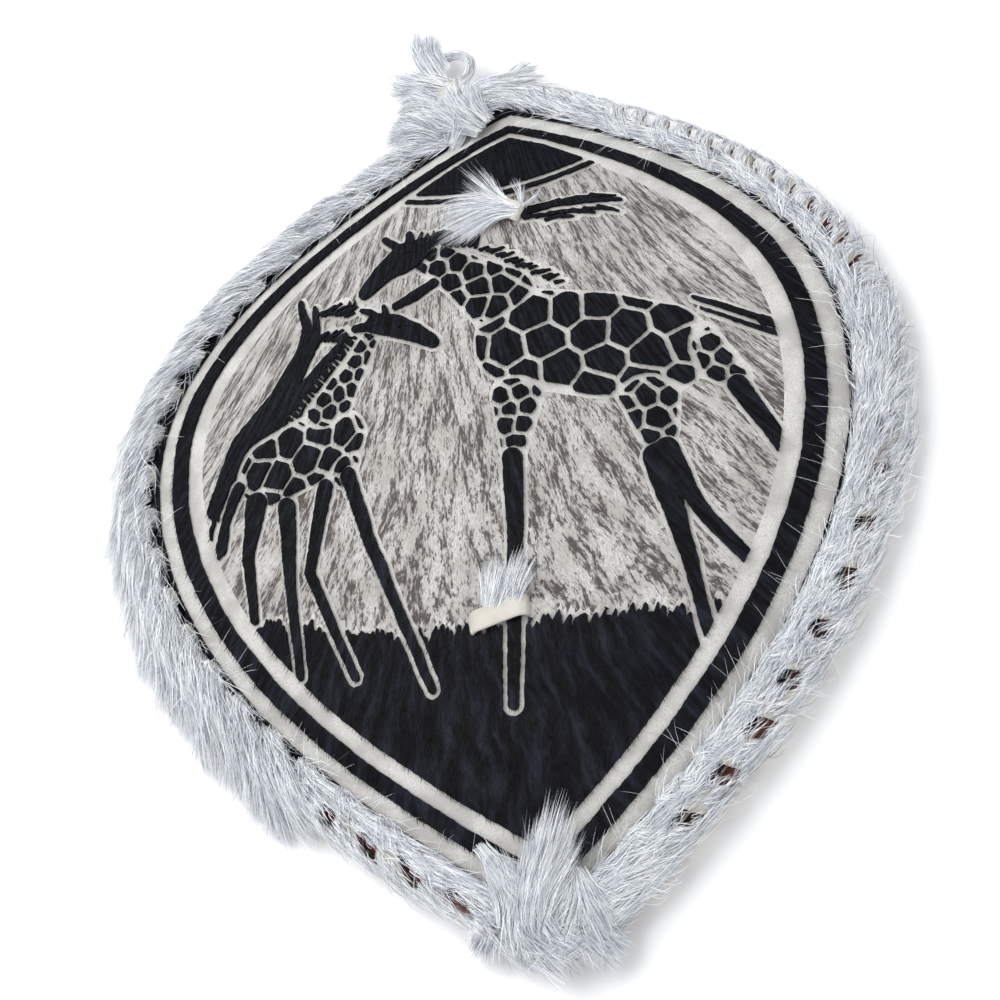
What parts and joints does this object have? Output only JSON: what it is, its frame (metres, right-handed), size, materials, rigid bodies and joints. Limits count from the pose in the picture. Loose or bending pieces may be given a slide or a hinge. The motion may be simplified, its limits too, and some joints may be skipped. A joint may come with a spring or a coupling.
{
  "type": "hide shield",
  "caption": "Domed almond-shaped hide shield, its face shaved in relief with giraffes, bound round the rim with long-haired goatskin.",
  "frame": {"origin": "under the middle of the whole shield, on the surface that it lies on", "axes": "+Z out of the shield's face, +Y towards its top tip, +X to the right as seen from the front with the top tip up"},
  "size_m": [0.521, 0.6428, 0.0619],
  "materials": {
    "cowhide": "short black hair and scraped pale skin",
    "bark_rod": "red-brown bark",
    "goatskin": "long cool-white hair",
    "thong": "pale skin with white hair at its ends"
  },
  "bodies": {
    "root": {"hide_panel": "cowhide", "hoop_left": "bark_rod", "hoop_right": "bark_rod", "binding_left": "goatskin", "binding_right": "goatskin", "hand_grip": "thong"}
  },
  "joints": []
}
